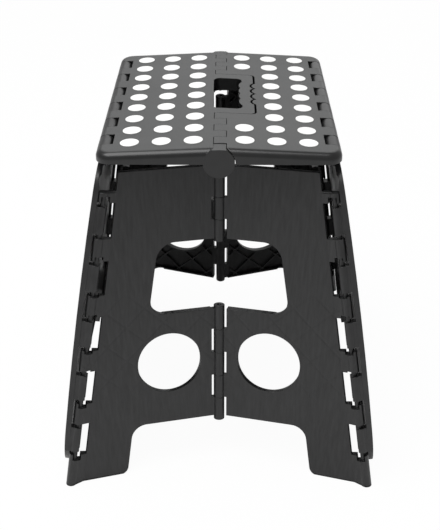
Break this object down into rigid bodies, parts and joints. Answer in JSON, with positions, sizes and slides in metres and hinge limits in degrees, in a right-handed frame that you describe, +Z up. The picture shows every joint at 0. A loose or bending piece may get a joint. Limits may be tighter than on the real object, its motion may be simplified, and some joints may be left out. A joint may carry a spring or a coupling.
{
  "type": "folding step stool",
  "caption": "Moulded folding step stool with a two-part dotted seat, grip handle and hinged front, rear and side panels that fold flat.",
  "frame": {"origin": "on the floor, below the middle of the open stool", "axes": "+X to the right across the seat, +Y from front to rear along the middle hinge, +Z up"},
  "size_m": [0.3618, 0.4438, 0.3925],
  "materials": {
    "black_plastic": "moulded satin black",
    "white_grip": "soft matt white",
    "steel_pins": "drawn steel rod",
    "rubber_pads": "matt black rubber"
  },
  "bodies": {
    "side_left": {"side_panel_left": "black_plastic", "side_foot_pads_left": "rubber_pads", "seat_side_pin_left": "steel_pins"},
    "seat_left": {"seat_half_left": "black_plastic", "grip_dots_left": "white_grip", "seat_centre_pin_front": "steel_pins", "seat_centre_pin_rear": "steel_pins"},
    "seat_right": {"seat_half_right": "black_plastic", "grip_dots_right": "white_grip"},
    "side_right": {"side_panel_right": "black_plastic", "side_foot_pads_right": "rubber_pads", "seat_side_pin_right": "steel_pins"},
    "front_left": {"front_panel_left": "black_plastic", "front_foot_pad_left": "rubber_pads", "front_hinge_pin_lower": "steel_pins", "front_hinge_pin_upper": "steel_pins"},
    "front_right": {"front_panel_right": "black_plastic", "front_foot_pad_right": "rubber_pads"},
    "rear_left": {"rear_panel_left": "black_plastic", "rear_foot_pad_left": "rubber_pads", "rear_hinge_pin_lower": "steel_pins", "rear_hinge_pin_upper": "steel_pins"},
    "rear_right": {"rear_panel_right": "black_plastic", "rear_foot_pad_right": "rubber_pads"}
  },
  "joints": [
    {"name": "seat_fold", "type": "hinge", "parent": "side_left", "child": "seat_left", "pos_m": [-0.119, 0, 0.3785], "axis": [0, -1, 0], "range_deg": [0, 72.97]},
    {"name": "seat_centre_fold", "type": "hinge", "parent": "seat_left", "child": "seat_right", "pos_m": [0, 0, 0.3767], "axis": [0, 1, 0], "range_deg": [0, 160]},
    {"name": "side_right_fold", "type": "hinge", "parent": "seat_right", "child": "side_right", "pos_m": [0.119, 0, 0.3785], "axis": [0, -1, 0], "range_deg": [0, 72.97]},
    {"name": "front_left_fold", "type": "hinge", "parent": "side_left", "child": "front_left", "pos_m": [-0.16984, -0.21563, 0], "axis": [0.1424, 0.1808, 0.9732], "range_deg": [0, 66.7]},
    {"name": "front_right_fold", "type": "hinge", "parent": "front_left", "child": "front_right", "pos_m": [0, -0.16693, 0], "axis": [0, -0.1424, -0.9898], "range_deg": [0, 130.98]},
    {"name": "rear_left_fold", "type": "hinge", "parent": "side_left", "child": "rear_left", "pos_m": [-0.16984, 0.21563, 0], "axis": [-0.1424, 0.1808, -0.9732], "range_deg": [0, 66.7]},
    {"name": "rear_right_fold", "type": "hinge", "parent": "rear_left", "child": "rear_right", "pos_m": [0, 0.16693, 0], "axis": [0, -0.1424, 0.9898], "range_deg": [0, 130.98]}
  ],
  "couplings": [
    {"joint": "seat_centre_fold", "follows": "seat_fold", "ratio": 2.1926},
    {"joint": "side_right_fold", "follows": "seat_fold", "ratio": 1},
    {"joint": "front_left_fold", "follows": "seat_fold", "ratio": 0.914},
    {"joint": "front_right_fold", "follows": "seat_fold", "ratio": 1.7949},
    {"joint": "rear_left_fold", "follows": "seat_fold", "ratio": 0.914},
    {"joint": "rear_right_fold", "follows": "seat_fold", "ratio": 1.7949}
  ]
}
